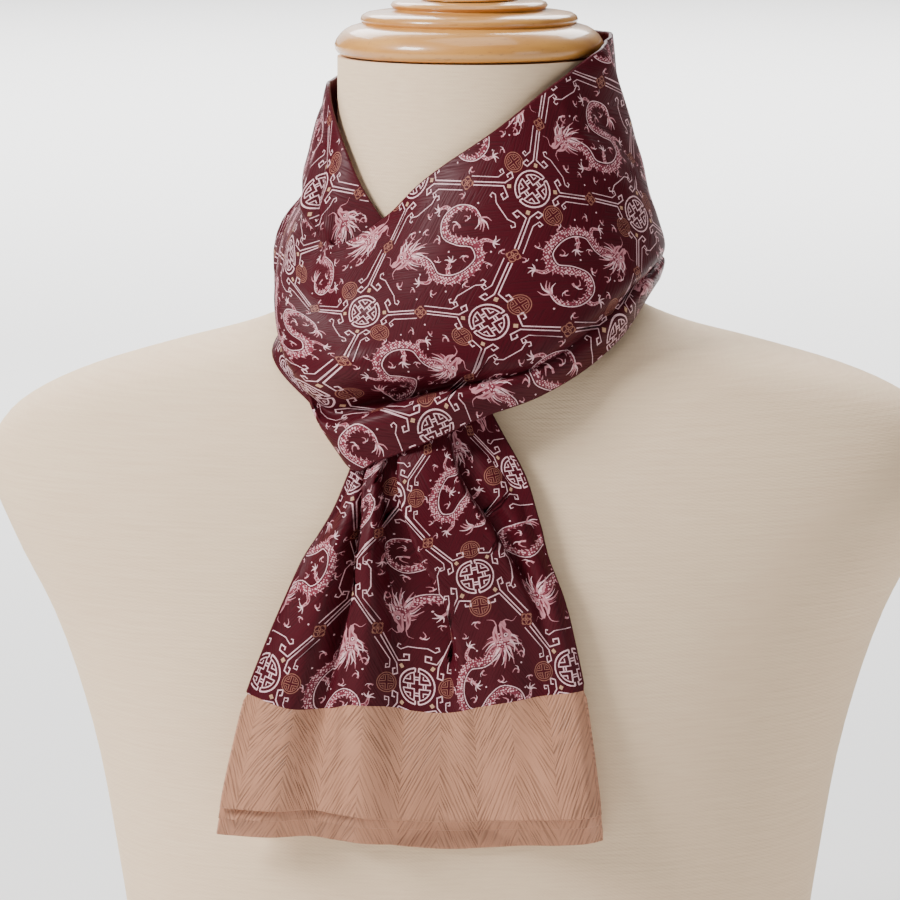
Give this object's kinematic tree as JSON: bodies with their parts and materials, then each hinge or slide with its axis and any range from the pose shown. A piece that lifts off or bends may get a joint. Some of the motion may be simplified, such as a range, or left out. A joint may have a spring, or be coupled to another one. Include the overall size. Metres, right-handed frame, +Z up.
{
  "type": "ascot scarf on a dress form",
  "caption": "Narrow silk scarf looped round the neck of a linen-covered limbless dress form with a turned wooden neck cap.",
  "frame": {"origin": "on the flat base of the dress form, under the axis of its neck", "axes": "+Z up along the neck, -Y out of the chest, +X to the right of a viewer who faces the chest"},
  "size_m": [0.4172, 0.2188, 0.5364],
  "materials": {
    "silk_print": "soft sheen, printed",
    "silk_border": "soft sheen, woven",
    "linen": "plain weave, matt",
    "beech": "clear varnish"
  },
  "bodies": {
    "root": {"band_front": "silk_print", "bight_turn": "silk_print", "nape_wrap": "silk_print", "left_fall": "silk_print", "front_tail": "silk_print", "rear_tail": "silk_print", "front_tail_border": "silk_border", "rear_tail_border": "silk_border", "form_body": "linen", "neck_cap": "beech", "cap_knob": "beech"}
  },
  "joints": []
}
